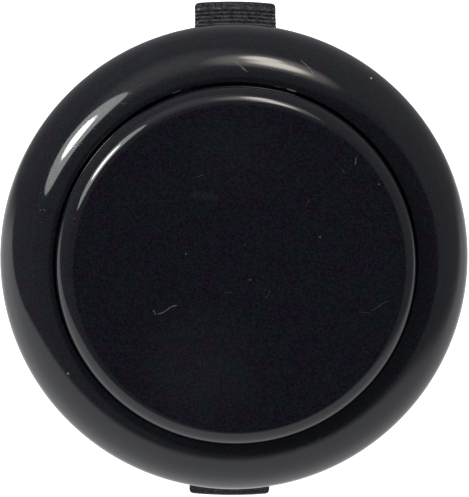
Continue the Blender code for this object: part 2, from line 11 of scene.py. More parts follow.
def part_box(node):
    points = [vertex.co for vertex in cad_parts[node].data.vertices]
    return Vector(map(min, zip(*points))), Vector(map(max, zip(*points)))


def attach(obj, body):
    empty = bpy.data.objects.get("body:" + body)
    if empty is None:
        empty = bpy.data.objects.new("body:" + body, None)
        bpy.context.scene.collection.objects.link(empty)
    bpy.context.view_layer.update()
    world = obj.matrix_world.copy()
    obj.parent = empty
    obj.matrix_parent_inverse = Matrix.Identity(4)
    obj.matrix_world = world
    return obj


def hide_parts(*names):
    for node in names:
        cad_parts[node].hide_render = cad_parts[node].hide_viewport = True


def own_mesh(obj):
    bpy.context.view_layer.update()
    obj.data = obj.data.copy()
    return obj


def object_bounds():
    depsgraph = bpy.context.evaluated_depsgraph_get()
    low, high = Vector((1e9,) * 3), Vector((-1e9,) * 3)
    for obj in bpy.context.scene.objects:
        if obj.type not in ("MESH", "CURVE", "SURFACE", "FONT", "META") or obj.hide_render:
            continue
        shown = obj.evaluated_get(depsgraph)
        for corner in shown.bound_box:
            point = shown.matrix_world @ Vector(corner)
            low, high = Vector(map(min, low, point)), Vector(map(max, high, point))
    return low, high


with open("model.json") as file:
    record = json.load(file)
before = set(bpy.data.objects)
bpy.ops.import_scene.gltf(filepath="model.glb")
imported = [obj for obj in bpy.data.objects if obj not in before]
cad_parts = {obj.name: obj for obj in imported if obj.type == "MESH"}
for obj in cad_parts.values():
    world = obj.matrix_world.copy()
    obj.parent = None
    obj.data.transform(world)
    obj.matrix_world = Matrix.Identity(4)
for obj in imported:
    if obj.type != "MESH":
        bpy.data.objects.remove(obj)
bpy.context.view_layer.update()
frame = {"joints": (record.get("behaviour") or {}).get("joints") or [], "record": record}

MM = 0.001
MERGE = 1e-6
TURN_STEPS = 240  # facets round a large turned piece
SMALL_STEPS = 40  # and round a small one
CLEAR = 0.06 * MM  # gap left where the real pieces touch

# Sizes read from the frame
SHELL_LOW, SHELL_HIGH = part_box("body_shell")
PLUNGER_LOW, PLUNGER_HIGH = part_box("plunger")
TAB_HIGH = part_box("snap_tab_upper")[1]
SPRING_LOW, SPRING_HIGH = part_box("return_spring")
COVER_LOW, COVER_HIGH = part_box("switch_cover")
PIN_LOW, PIN_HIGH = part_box("switch_pin_right")
TRAVEL = next(joint["range_m"][1] for joint in frame["joints"] if joint["name"] == "plunger_slide")
TERMINALS = ("common_terminal", "open_terminal", "closed_terminal")
BODIES = frame["record"]["behaviour"]["bodies"]
BODY_OF = {node: body for body, nodes in BODIES.items() for node in nodes}

BEZEL_RADIUS = SHELL_HIGH.x
BEZEL_HEIGHT = SHELL_HIGH.z
BARREL_BOTTOM = SHELL_LOW.z
PLUNGER_RADIUS = PLUNGER_HIGH.y
PLUNGER_TOP = PLUNGER_HIGH.z
PLUNGER_BOTTOM = PLUNGER_LOW.z
HOOK_REACH = PLUNGER_HIGH.x
TAB_HALF_WIDTH = TAB_HIGH.x
TAB_TOP = TAB_HIGH.z
TAB_LIP_RADIUS = TAB_HIGH.y
HOLDER_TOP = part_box("switch_holder")[1].z
PIN_MIDDLE = (PIN_LOW + PIN_HIGH) / 2
PIN_RADIUS = PIN_HIGH.x - PIN_MIDDLE.x

# Sizes of the design that no box gives
BEZEL_EDGE = 0.5 * MM  # height of the bezel's widest circle
BORE_RADIUS = 13.0 * MM
BARREL_RADIUS = 14.7 * MM
PLUNGER_FILLET = 1.3 * MM
SKIRT_WALL = 1.4 * MM
PLATE_WALL = 1.6 * MM
TAB_LIP_Z = -4.1 * MM
TAB_PIVOT = (14.0 * MM, -18.8 * MM)
SLOPE_LOW = (TAB_LIP_RADIUS - 0.55 * MM, TAB_LIP_Z + 0.38 * MM)
SLOPE_HIGH = (15.2 * MM, TAB_TOP)
RIDGES = 9
TAB_BOW = 30.0 * MM  # radius of the tab's bow across its width
# One ridge: share of its pitch, and depth under the slope
RIDGE_SHAPE = ((0.0, 0.0), (0.08, 0.16 * MM), (0.30, 0.18 * MM), (0.44, 0.03 * MM), (0.6, 0.0), (0.92, 0.0))
WINDOW_HALF = 4.4 * MM
WINDOW_TOP = -0.8 * MM
WINDOW_BOTTOM = -19.4 * MM
SLOT_HALF = 3.1 * MM
HOOK_TOP = -6.9 * MM
BARB_TOP = -14.2 * MM
BARB_BOTTOM = -16.6 * MM
HOLDER_PLATE = 1.6 * MM
HOLDER_RADIUS = BORE_RADIUS + 0.005 * MM  # a press fit in the bore
HOLDER_WALL = (7.7 * MM, 9.6 * MM)
HOLDER_AISLE = 4.3 * MM
STRIP_THICK = 0.5 * MM  # a terminal's tail, and the arm that carries its contact
STEM_THICK = 0.4 * MM  # its stem
TAIL_TOP = BARREL_BOTTOM - 0.5 * MM
FIT = 0.3 * MM  # gap that the CAD model keeps where pieces meet
HOLE_REACH = 24 * MM  # long enough to go through the holder or the cover

# Camera: where it looks from, and how much it sees at the bezel's widest circle
LOOK_FROM = Vector((-0.033, 0.122, 1.0))
CAMERA_DISTANCE = 0.35
CAMERA_ROLL = radians(0.7)
VIEW_HEIGHT = 35.49 * MM
SENSOR = 36.0
AIM_RIGHT, AIM_UP = 0.024 * MM, 0.648 * MM  # the view's middle, from the bezel's centre


def make_camera():
    camera = bpy.data.objects.new("camera", bpy.data.cameras.new("camera"))
    bpy.context.scene.collection.objects.link(camera)
    bpy.context.scene.camera = camera
    back = LOOK_FROM.normalized()
    up = (Vector((0, 1, 0)) - back * back.y).normalized()
    turn = Matrix.Rotation(CAMERA_ROLL, 3, back)
    right = turn @ up.cross(back)
    up = turn @ up
    target = Vector((0, 0, BEZEL_EDGE)) + right * AIM_RIGHT + up * AIM_UP
    camera.matrix_world = Matrix.Translation(target + back * CAMERA_DISTANCE) @ (
        Matrix((right, up, back)).transposed().to_4x4()
    )
    camera.data.sensor_width = SENSOR
    camera.data.lens = CAMERA_DISTANCE / VIEW_HEIGHT * SENSOR
    camera.data.clip_start = 0.01
    camera.data.clip_end = 20.0


class Tree:
    """A short way to write nodes: each call adds one and gives back its output."""

    def __init__(self, tree):
        self.nodes = tree.nodes
        self.links = tree.links

    def put(self, socket, value):
        if isinstance(value, bpy.types.NodeSocket):
            self.links.new(value, socket)
        else:
            socket.default_value = value

    def node(self, kind, **inputs):
        node = self.nodes.new("ShaderNode" + kind)
        for name, value in inputs.items():
            self.put(node.inputs[name.replace("_", " ")], value)
        return node

    def math(self, operation, *values):
        node = self.nodes.new("ShaderNodeMath")
        node.operation = operation
        for socket, value in zip(node.inputs, values):
            self.put(socket, value)
        return node.outputs[0]

    def vector(self, operation, *values):
        node = self.nodes.new("ShaderNodeVectorMath")
        node.operation = operation
        for socket, value in zip(node.inputs, values):
            self.put(socket, value)
        return node.outputs["Value"] if operation in ("DOT_PRODUCT", "LENGTH") else node.outputs[0]

    def ramp(self, value, low, high, to_low=0.0, to_high=1.0):
        node = self.nodes.new("ShaderNodeMapRange")
        node.interpolation_type = "SMOOTHSTEP"
        for socket, number in zip(node.inputs, (value, low, high, to_low, to_high)):
            self.put(socket, number)
        return node.outputs[0]

    def blend(self, share, a, b):
        return self.math("MULTIPLY_ADD", self.math("SUBTRACT", b, a), share, a)

    def mix(self, share, a, b):
        node = self.nodes.new("ShaderNodeMix")
        node.data_type = "RGBA"
        for place, value in ((0, share), (6, a), (7, b)):
            self.put(node.inputs[place], value)
        return node.outputs[2]

    def noise(self, place, scale, detail=2.0, roughness=0.5):
        node = self.node("TexNoise", Vector=place, Scale=scale, Detail=detail, Roughness=roughness)
        return node.outputs[0]


def direction(azimuth, polar):
    """A unit vector: azimuth turns from +X towards +Y, polar is the angle from straight up. Degrees."""
    a, p = radians(azimuth), radians(polar)
    return Vector((sin(p) * cos(a), sin(p) * sin(a), cos(p)))


# Light, as radiance by direction. A place is an azimuth and a polar angle. A patch is a place, how far
# round it the patch is full, and how far off it ends. All in degrees
OVERHEAD = 0.235
OVERHEAD_DARK = 0.085  # where the camera and its stand shade the ceiling
OVERHEAD_EDGE = (34.0, 50.0)  # polar angles between which the ceiling gives way to the sides
SHADES = (((-12, 27), 17, 26), ((-50, 18), 14, 25))
HALO = ((106, 40), 4, 40)
HALO_STRENGTH = 0.50
SIDES = 0.33
BELOW = -0.06  # how much darker it is below the horizon
FRONT = 1.08  # the white board in front, below the camera
FRONT_NORMAL = Vector((0.0, -0.725, -0.689))
WARM_WING = ((76.0, 43.5), 0, 18)
WARM_WING_STRENGTH = 2.5
WARM_CORES = (((73.5, 41.0), 0, 8.5), ((79.5, 48.5), 0, 6.8))
WARM_CORE_STRENGTH = 11.0
ROOM_TINT = (0.98, 0.985, 1.0, 1.0)
WARM_TINT = (1.0, 0.92, 0.82, 1.0)
KEY_PLACE = (148.0, 42.0)
KEY_DISTANCE = 0.8
KEY_LAMPS = (  # name, half angle in degrees, radiance, distance and colour
    ("key_softbox", 14.3, 4.8, KEY_DISTANCE, (0.94, 1.0, 0.965)),
    ("key_core", 5.9, 28.0, KEY_DISTANCE * 0.98, (1.0, 1.0, 0.98)),
)


def patch(tree, ray, place, inner, outer):
    """One within inner degrees of a place in the sky, falling to none at outer."""
    towards = tree.vector("DOT_PRODUCT", ray, direction(*place))
    return tree.ramp(towards, cos(radians(outer)), cos(radians(inner)))


def room_light(tree, ray, x, y, z):
    """Walls and ceiling, with the shade of the camera and a soft glow round the warm lamp."""
    sides = tree.math("MULTIPLY_ADD", y, 0.06, SIDES)
    sides = tree.math("ADD", sides, tree.ramp(x, -0.2, -0.9, 0.0, -0.05))
    sides = tree.math("ADD", sides, tree.ramp(z, 0.0, -0.4, 0.0, BELOW))
    inner, outer = OVERHEAD_EDGE
    up = tree.ramp(z, cos(radians(outer)), cos(radians(inner)))
    ring = tree.blend(up, sides, OVERHEAD)
    shade = tree.math("MAXIMUM", *(patch(tree, ray, *spot) for spot in SHADES))
    ring = tree.math("MULTIPLY", ring, tree.ramp(shade, 0.0, 1.0, 1.0, OVERHEAD_DARK / OVERHEAD))
    halo = tree.math("MULTIPLY", patch(tree, ray, *HALO), tree.ramp(z, 0.99, 0.79, 0.0, HALO_STRENGTH))
    return tree.math("ADD", ring, halo)


def with_front_board(tree, ray, x, y, z, room):
    """The room with the front board in it: a sharp edge on the left, a soft one on the right."""
    square = tree.math("MULTIPLY", x, x)
    fourth = tree.math("MULTIPLY", square, square)
    right = tree.math("POWER", tree.math("MAXIMUM", x, 0.0), 4.0)

    def edge(middle, of_square, of_fourth):
        inner = tree.math("MULTIPLY_ADD", square, of_square, middle)
        return tree.math("MULTIPLY_ADD", fourth, of_fourth, inner)

    low = edge(-0.15, -0.06, 0.38)
    high = tree.math("MULTIPLY_ADD", right, 0.6, edge(0.13, -0.62, 0.76))
    board = tree.vector("DOT_PRODUCT", ray, FRONT_NORMAL)
    # It ends behind the button
    share = tree.math("MULTIPLY", tree.ramp(board, low, high), tree.ramp(y, 0.16, -0.06))
    front = tree.math("MULTIPLY_ADD", x, -0.22, FRONT)
    front = tree.math("MULTIPLY", front, tree.ramp(z, -0.35, -0.8, 1.0, 0.72))
    return tree.blend(share, room, front)


def warm_lamp(tree, ray):
    core = tree.math("MAXIMUM", *(patch(tree, ray, *spot) for spot in WARM_CORES))
    wing = tree.math("MULTIPLY", patch(tree, ray, *WARM_WING), WARM_WING_STRENGTH)
    return tree.math("MULTIPLY_ADD", core, WARM_CORE_STRENGTH, wing)


def make_world():
    world = bpy.data.worlds.new("studio")
    bpy.context.scene.world = world
    world.use_nodes = True
    world.node_tree.nodes.clear()
    tree = Tree(world.node_tree)
    ray = tree.node("TexCoord").outputs["Generated"]
    parts = tree.node("SeparateXYZ", Vector=ray)
    axes = [parts.outputs[axis] for axis in "XYZ"]
    room = room_light(tree, ray, *axes)
    strength = with_front_board(tree, ray, *axes, room)
    both = tree.node("AddShader")
    for socket, colour, power in zip(both.inputs, (ROOM_TINT, WARM_TINT), (strength, warm_lamp(tree, ray))):
        tree.put(socket, tree.node("Background", Color=colour, Strength=power).outputs[0])
    output = tree.node("OutputWorld")
    tree.put(output.inputs["Surface"], both.outputs[0])


def make_lamp(name, half_angle, radiance, distance, colour):
    """A round soft box at the key light's place, facing the button."""
    radius = distance * tan(radians(half_angle))
    light = bpy.data.lights.new(name, "AREA")
    light.shape = "DISK"
    light.size = 2 * radius
    light.energy = radiance * pi * pi * radius * radius
    light.color = colour
    lamp = bpy.data.objects.new(name, light)
    bpy.context.scene.collection.objects.link(lamp)
    back = direction(*KEY_PLACE)
    lamp.location = back * distance
    lamp.rotation_mode = "QUATERNION"
    lamp.rotation_quaternion = (-back).to_track_quat("-Z", "Y")
    lamp.visible_camera = False


def make_floor():
    """A pale floor just under the terminals, which the gloss does not reflect."""
    drop, half_size, pale, glow = 0.1 * MM, 3.0, 0.8, 0.8
    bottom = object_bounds()[0].z
    mesh = bpy.data.meshes.new("floor")
    shape = bmesh.new()
    bmesh.ops.create_grid(shape, x_segments=1, y_segments=1, size=half_size)
    bmesh.ops.translate(shape, vec=(0, 0, bottom - drop), verts=shape.verts)
    shape.to_mesh(mesh)
    shape.free()
    floor = bpy.data.objects.new("floor", mesh)
    bpy.context.scene.collection.objects.link(floor)
    floor.visible_glossy = False
    material, tree, shader = new_material("pale_floor", 0.8)
    tree.put(shader.inputs["Base Color"], (pale, pale, pale, 1.0))
    tree.put(shader.inputs["Emission Color"], (1.0, 1.0, 1.0, 1.0))
    tree.put(shader.inputs["Emission Strength"], glow)
    mesh.materials.append(material)


# ---- Materials ----


def new_material(name, roughness, metallic=0.0):
    material = bpy.data.materials.new(name)
    material.use_nodes = True
    shader = material.node_tree.nodes["Principled BSDF"]
    shader.inputs["Roughness"].default_value = roughness
    shader.inputs["Metallic"].default_value = metallic
    shader.inputs["IOR"].default_value = 1.5
    return material, Tree(material.node_tree), shader


def specks(tree, place, scale, size, share):
    """Small round spots in some of the cells of a lattice."""
    cells = tree.node("TexVoronoi", Vector=place, Scale=scale)
    lot = tree.node("SeparateColor", Color=cells.outputs["Color"]).outputs[0]
    chosen = tree.math("LESS_THAN", lot, share)
    return tree.math("MULTIPLY", tree.ramp(cells.outputs["Distance"], size, size * 0.5), chosen)


def scratches(tree, place, turn, scale, stretch, low, high):
    """Fine broken lines along one direction."""
    fine = scale * stretch
    lines = tree.node("Mapping", Vector=place, Rotation=(0, 0, turn), Scale=(scale, fine, fine))
    return tree.ramp(tree.noise(lines.outputs[0], 1.0, 1.0), low, high)


def bump(tree, shader, height, distance):
    node = tree.node("Bump", Height=height, Distance=distance, Strength=1.0)
    tree.put(shader.inputs["Normal"], node.outputs[0])


def strokes(tree, place, marks):
    """Marks in the plane of X and Y, each a short line that may wave and fades at its ends."""
    total = 0.0
    for x, y, turn, length, width, wave, share in marks:
        centred = tree.vector("SUBTRACT", place, Vector((x, y, 0.0)) * MM)
        aligned = tree.node("Mapping", Vector=centred, Rotation=(0, 0, -radians(turn))).outputs[0]
        parts = tree.node("SeparateXYZ", Vector=aligned)
        along, across = parts.outputs["X"], parts.outputs["Y"]
        bend = tree.math("SINE", tree.math("MULTIPLY", along, 2.6 / (length * MM)))
        across = tree.math("ABSOLUTE", tree.math("MULTIPLY_ADD", bend, -wave * MM, across))
        line = tree.ramp(across, width * MM, width * MM * 0.3)
        ends = tree.ramp(tree.math("ABSOLUTE", along), length * MM, length * MM * 0.75)
        total = tree.math("MULTIPLY_ADD", tree.math("MULTIPLY", line, ends), share, total)
    return total


# Marks: centre in mm, turn in degrees, half length, half width and wave in mm, and strength
CAP_MARKS = (
    (-4.85, -3.0, 16, 0.80, 0.045, 0.13, 1.0),
    (-5.75, -3.2, 118, 0.22, 0.045, 0.0, 0.8),
    (8.25, 7.6, 74, 0.30, 0.040, 0.02, 0.9),
    (10.1, -2.6, 24, 0.75, 0.035, 0.06, 0.35),
    (9.1, -3.1, -8, 0.35, 0.035, 0.02, 0.3),
    (2.2, -1.9, 55, 0.35, 0.05, 0.02, 0.25),
    (-0.55, -1.75, 5, 0.35, 0.04, 0.0, 0.25),
    (4.9, 4.6, 62, 0.40, 0.04, 0.03, 0.2),
    (7.4, 6.9, -50, 0.12, 0.04, 0.0, 0.4),
    (-2.3, 5.05, -8, 1.15, 0.35, 0.0, 0.055),
    (-3.58, 0.95, 0, 0.07, 0.07, 0.0, 0.8),
    (0.94, -0.85, 0, 0.10, 0.08, 0.0, 0.5),
    (0.55, 1.65, 0, 0.07, 0.06, 0.0, 0.45),
    (5.82, 2.23, 0, 0.07, 0.07, 0.0, 1.0),
    (9.9, 6.0, 0, 0.08, 0.06, 0.0, 0.7),
    (-2.7, 6.45, 20, 0.30, 0.04, 0.0, 0.3),
)
BEZEL_MARKS_AND_GLINTS = (
    (0.15, 14.05, -42, 0.55, 0.035, 0.03, 1.0),
    (0.45, 13.75, -30, 0.30, 0.035, 0.0, 0.7),
    (4.75, 14.15, -48, 0.50, 0.035, 0.03, 0.9),
    (5.15, 13.75, -60, 0.28, 0.035, 0.0, 0.5),
    (9.48, 13.11, 0, 0.09, 0.08, 0.0, 3.0),
    (-11.79, -7.93, 0, 0.09, 0.08, 0.0, 2.0),
    (-11.9, 12.0, 56, 0.45, 0.06, 0.04, 0.5),
    (-12.25, 11.5, 40, 0.25, 0.05, 0.0, 0.5),
    # The last three are painted glints at the bore's lip, where light shows down the gap round the cap
    (-4.30, 12.10, 20, 0.34, 0.12, 0.0, 3.0),
    (3.75, 12.31, -17, 0.36, 0.12, 0.0, 3.0),
    (2.80, 12.56, -13, 0.26, 0.07, 0.0, 1.5),
)
TAB_NICKS = (
    (-2.64, 17.42, 10, 0.10, 0.08, 0.0, 1.0),
    (-2.73, 16.51, 60, 0.10, 0.08, 0.0, 1.2),
    (2.72, 16.84, 80, 0.09, 0.06, 0.0, 1.0),
    (-1.14, 17.48, 0, 0.10, 0.06, 0.0, 0.5),
)
# Painted sheen on the cap's top: soft pale patches, lower left and at the top
CAP_PAINTED_SHEEN = ((-2.5, -7.4, 6.0, 0.045), (-0.2, 8.3, 5.0, 0.022))  # centre and radius in mm, and strength
HAIRLINES = (  # turn, scale, stretch, and the noise levels between which a line shows
    (0.5, 260.0, 26.0, 0.70, 0.78),
    (1.9, 330.0, 30.0, 0.71, 0.79),
    (2.7, 200.0, 30.0, 0.71, 0.79),
    (-0.35, 150.0, 30.0, 0.71, 0.79),
)
COOL_BLACKS = ((0.0002, 0.0016, 0.0036, 1), (0.0048, 0.0070, 0.0108, 1))
WARM_BLACKS = ((0.0008, 0.0003, 0.0034, 1), (0.0078, 0.0048, 0.0110, 1))
# Pale for lint, dust and scratches, also used for the painted glints and painted sheen on the gloss plastic
MARK_GLINT_AND_SHEEN_PALE = (0.55, 0.53, 0.50, 1)
# Pale for the tabs' nicks and sparkle, and for the painted highlight on their ridges
NICK_AND_HIGHLIGHT_PALE = (0.72, 0.72, 0.72, 1)


def radius_of(tree, place):
    """Distance from the button's axis."""
    return tree.vector("LENGTH", tree.vector("MULTIPLY", place, Vector((1.0, 1.0, 0.0))))


def gloss_plastic(name, marks, sheen_patches=(), wall_rough=0.0):
    """Injection-moulded black plastic with a polish: fine grain, hairline scratches, lint and dust, and the
    painted glints and painted sheen passed to it.
    """
    material, tree, shader = new_material(name, 0.05)
    place = tree.node("TexCoord").outputs["Object"]
    height_z = tree.node("SeparateXYZ", Vector=place).outputs["Z"]

    # Colour: two blacks in soft patches, each with a grain, under marks, dust, painted glints and painted
    # sheen
    grain = tree.ramp(tree.noise(place, 7500.0, 1.0, 0.6), 0.30, 0.70)
    cool, warm = (tree.mix(grain, *blacks) for blacks in (COOL_BLACKS, WARM_BLACKS))
    tint = tree.noise(tree.vector("ADD", place, Vector((0.3, 0.7, 0.1))), 750.0, 2.0)
    colour = tree.mix(tree.ramp(tint, 0.40, 0.62), cool, warm)
    front = tree.ramp(height_z, 0.3 * MM, 0.6 * MM)
    drawn = tree.math("MULTIPLY", strokes(tree, place, marks), front)
    dust_and_sheen = tree.math("MULTIPLY", specks(tree, place, 1500.0, 0.09, 0.05), 0.35)
    # Painted sheen: soft pale patches, added to the dust specks
    for x, y, radius, share in sheen_patches:
        centred = tree.vector("SUBTRACT", place, Vector((x, y, 0.0)) * MM)
        soft = tree.ramp(radius_of(tree, centred), radius * MM, 0.0)
        dust_and_sheen = tree.math("MULTIPLY_ADD", soft, share, dust_and_sheen)
    pale = tree.math("MINIMUM", tree.math("ADD", drawn, dust_and_sheen), 3.0)
    tree.put(shader.inputs["Base Color"], tree.mix(tree.math("MULTIPLY", pale, 0.13), colour, MARK_GLINT_AND_SHEEN_PALE))

    # Roughness: clouds of wear, hairlines and lint, and a duller wall inside the bore
    hair = 0.0
    for line in HAIRLINES:
        hair = tree.math("MAXIMUM", hair, scratches(tree, place, *line))
    cloud = tree.ramp(tree.noise(place, 220.0, 3.0), 0.35, 0.75, 0.035, 0.075)
    rough = tree.math("MULTIPLY_ADD", hair, 0.14, cloud)
    rough = tree.math("MULTIPLY_ADD", pale, 0.4, rough)
    inside = tree.math("LESS_THAN", radius_of(tree, place), BORE_RADIUS + 0.02 * MM)
    wall = tree.math("MULTIPLY", inside, tree.math("LESS_THAN", height_z, BEZEL_HEIGHT - 0.03 * MM))
    tree.put(shader.inputs["Roughness"], tree.math("MULTIPLY_ADD", wall, wall_rough, rough))

    # Relief: hairlines, the moulding's slight waves and its grain
    waves = tree.math("MULTIPLY", tree.noise(place, 480.0, 1.0), 0.012)
    relief = tree.math("MULTIPLY_ADD", hair, -0.004, waves)
    relief = tree.math("MULTIPLY_ADD", tree.noise(place, 5200.0, 1.0), 0.0006, relief)
    bump(tree, shader, relief, 0.25 * MM)
    return material


def matt_plastic(name, colour, rough, grain, contrast=0.5, depth=1.0):
    """Moulded plastic with a spark-eroded grain, paler where its edges are worn.

    It also gives back its tree, shader, place and base colour, for a material that adds to it.
    """
    material, tree, shader = new_material(name, rough)
    place = tree.node("TexCoord").outputs["Object"]
    cloud = tree.noise(place, 500.0, 3.0)
    fine = tree.noise(place, grain, 2.0, 0.7)
    dark = (*((1.0 - contrast) * v for v in colour), 1)
    pale = (*(min(1.0, (1.0 + 1.5 * contrast) * v) for v in colour), 1)
    base = tree.mix(tree.ramp(fine, 0.41, 0.61), dark, pale)
    edge = tree.ramp(tree.node("NewGeometry").outputs["Pointiness"], 0.53, 0.62)
    worn = tree.math("MULTIPLY", edge, tree.ramp(cloud, 0.4, 0.6, 0.15, 0.5))
    base = tree.mix(worn, base, (*(min(1.0, 2.6 * v + 0.006) for v in colour), 1))
    tree.put(shader.inputs["Base Color"], base)
    tree.put(shader.inputs["Roughness"], tree.ramp(fine, 0.3, 0.75, rough - 0.12, rough + 0.14))
    bump(tree, shader, tree.math("MULTIPLY_ADD", cloud, 0.3, fine), 0.045 * MM * depth)
    return material, tree, shader, place, base


def tab_plastic():
    """The tabs' plastic: coarse grain, pale sparkle and nicks, and a painted highlight along the crests of
    the ridges, in patches.
    """
    name, colour = "matt_black_plastic", (0.0130, 0.0123, 0.0190)
    material, tree, shader, place, base = matt_plastic(name, colour, 0.36, 6400.0, contrast=1.0, depth=4.0)
    shader.inputs["Specular IOR Level"].default_value = 0.26
    height = tree.node("SeparateXYZ", Vector=place).outputs["Z"]
    pitch = (SLOPE_HIGH[1] - SLOPE_LOW[1]) / RIDGES
    phase = tree.math("FRACT", tree.math("DIVIDE", tree.math("SUBTRACT", height, SLOPE_LOW[1]), pitch))
    # Painted highlight: a pale band on the crest of each ridge, above the lip, broken into patches
    crest = tree.math("MULTIPLY", tree.ramp(phase, 0.50, 0.72), tree.ramp(phase, 1.0, 0.90))
    first = tree.ramp(height, SLOPE_LOW[1] - 0.4 * pitch, SLOPE_LOW[1] - 0.1 * pitch)
    crest = tree.math("MULTIPLY", crest, first)
    crest_patches = tree.ramp(tree.noise(place, 2600.0, 3.0, 0.7), 0.36, 0.62, 0.1, 1.0)
    crest = tree.math("MULTIPLY", crest, crest_patches)
    nicks = strokes(tree, place, TAB_NICKS)
    sparkle = tree.math("MULTIPLY", specks(tree, place, 7400.0, 0.42, 0.13), 2.0)
    pale = tree.math("ADD", sparkle, tree.math("MULTIPLY_ADD", nicks, 4.0, crest))
    pale = tree.math("MINIMUM", pale, 5.0)
    tree.put(shader.inputs["Base Color"], tree.mix(tree.math("MULTIPLY", pale, 0.06), base, NICK_AND_HIGHLIGHT_PALE))
    return material


def metal(name, colour, rough, brushed, spots):
    """Strip or wire stock: rolling lines along its length, handling marks and a slight tarnish."""
    material, tree, shader = new_material(name, rough, metallic=1.0)
    place = tree.node("TexCoord").outputs["Object"]
    lines = tree.node("Mapping", Vector=place, Scale=(brushed, brushed, brushed * 0.04)).outputs[0]
    rolled = tree.noise(lines, 1.0, 3.0)
    tarnish = tree.noise(place, 700.0, 4.0, 0.65)
    dull = (*(spots * v for v in colour), 1)
    tree.put(shader.inputs["Base Color"], tree.mix(tree.ramp(tarnish, 0.4, 0.75), (*colour, 1), dull))
    tree.put(shader.inputs["Roughness"], tree.ramp(tarnish, 0.3, 0.8, rough - 0.08, rough + 0.16))
    bump(tree, shader, rolled, 0.006 * MM)
    return material


# ---- Mesh tools ----


def clamp(value):
    return min(1.0, max(0.0, value))


def add_mesh(name, verts, faces):
    mesh = bpy.data.meshes.new(name)
    mesh.from_pydata(verts, [], faces)
    mesh.validate()
    obj = bpy.data.objects.new(name, mesh)
    bpy.context.scene.collection.objects.link(obj)
    return obj


def tidy(obj):
    """Merges coincident points and turns the faces outwards."""
    shape = bmesh.new()
    shape.from_mesh(obj.data)
    bmesh.ops.remove_doubles(shape, verts=shape.verts, dist=MERGE)
    bmesh.ops.dissolve_degenerate(shape, edges=shape.edges, dist=MERGE)
    bmesh.ops.recalc_face_normals(shape, faces=shape.faces)
    shape.to_mesh(obj.data)
    shape.free()


def arc(centre, radius, start, end, steps, height_radius=None):
    """Points round part of a circle, or of an ellipse with its own radius upwards."""
    up = height_radius or radius
    angles = [start + (end - start) * i / steps for i in range(steps + 1)]
    return [(centre[0] + radius * cos(a), centre[1] + up * sin(a)) for a in angles]


def run(start, end, steps):
    """Points along a straight line, its last point left out."""
    pace = (Vector(end) - Vector(start)) / steps
    return [tuple(Vector(start) + pace * i) for i in range(steps)]


def rounded(u, v, radius, steps=5):
    """A rectangle with round corners, over the two ranges."""
    (u0, u1), (v0, v1) = u, v
    corners = ((u1, v0, -0.5), (u1, v1, 0.0), (u0, v1, 0.5), (u0, v0, 1.0))
    points = []
    for cu, cv, start in corners:
        centre = (cu - radius if cu == u1 else cu + radius, cv + radius if cv == v0 else cv - radius)
        points += arc(centre, radius, start * pi, (start + 0.5) * pi, steps)
    return points


def lathe(name, profile, steps=TURN_STEPS):
    """A turned solid about Z, from the (radius, height) points round its section."""
    count = len(profile)
    verts = []
    for i in range(steps):
        angle = 2 * pi * i / steps
        verts += [(r * cos(angle), r * sin(angle), z) for r, z in profile]
    faces = []
    for i in range(steps):
        near, far = i * count, (i + 1) % steps * count
        for j in range(count):
            k = (j + 1) % count
            if profile[j][0] > MERGE or profile[k][0] > MERGE:
                faces.append((near + j, near + k, far + k, far + j))
    obj = add_mesh(name, verts, faces)
    tidy(obj)
    return obj


def sweep(name, rings):
    """A solid through rings that have the same number of points, its two ends closed."""
    count = len(rings[0])
    last = (len(rings) - 1) * count
    faces = [tuple(range(count)), tuple(range(last, last + count))]
    for near in range(0, last, count):
        far = near + count
        for j in range(count):
            k = (j + 1) % count
            faces.append((near + j, near + k, far + k, far + j))
    obj = add_mesh(name, [vert for ring in rings for vert in ring], faces)
    tidy(obj)
    return obj


def prism(name, outline, axis, span):
    """A flat outline given thickness along an axis. Along X it lies in y and z, along Y in x and z."""
    place = {
        "X": lambda u, v, w: (w, u, v),
        "Y": lambda u, v, w: (u, w, v),
        "Z": lambda u, v, w: (u, v, w),
    }[axis]
    count = len(outline)
    verts = [place(u, v, w) for w in span for u, v in outline]
    faces = [(i, (i + 1) % count, (i + 1) % count + count, i + count) for i in range(count)]
    faces += [tuple(range(count)), tuple(range(count, 2 * count))]
    obj = add_mesh(name, verts, faces)
    tidy(obj)
    return obj


def rod(name, radius, centre, length, axis):
    """A straight round bar about a centre."""
    spots = {"X": (1, 2, 0), "Y": (0, 2, 1), "Z": (0, 1, 2)}[axis]
    u, v, w = (centre[i] for i in spots)
    circle = arc((u, v), radius, 0, 2 * pi * (1 - 1 / SMALL_STEPS), SMALL_STEPS - 1)
    return prism(name, circle, axis, (w - length / 2, w + length / 2))


def settle(obj):
    """Makes the object's modifiers permanent."""
    graph = bpy.context.evaluated_depsgraph_get()
    mesh = bpy.data.meshes.new_from_object(obj.evaluated_get(graph))
    obj.modifiers.clear()
    obj.data = mesh


def boolean(obj, operation, tools):
    for tool in tools:
        modifier = obj.modifiers.new(operation.lower(), "BOOLEAN")
        modifier.object = tool
        modifier.operation = operation
        modifier.solver = "EXACT"
    settle(obj)
    for tool in tools:
        bpy.data.objects.remove(tool, do_unlink=True)
    tidy(obj)


def carve(obj, *tools):
    boolean(obj, "DIFFERENCE", tools)


def merge(obj, *tools):
    boolean(obj, "UNION", tools)


def ease(obj, width, segments=2):
    """Rounds the sharp edges."""
    bevel = obj.modifiers.new("round", "BEVEL")
    bevel.width = width
    bevel.segments = segments
    bevel.limit_method = "ANGLE"
    bevel.angle_limit = radians(35)
    settle(obj)


def finish(obj, material, body, slot, *nodes, angle=30):
    obj.data.shade_smooth()
    obj.data.set_sharp_from_angle(angle=radians(angle))
    obj.data.materials.clear()
    obj.data.materials.append(material)
    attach(obj, body)
    if nodes:
        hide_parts(*nodes)


# ---- Pieces ----


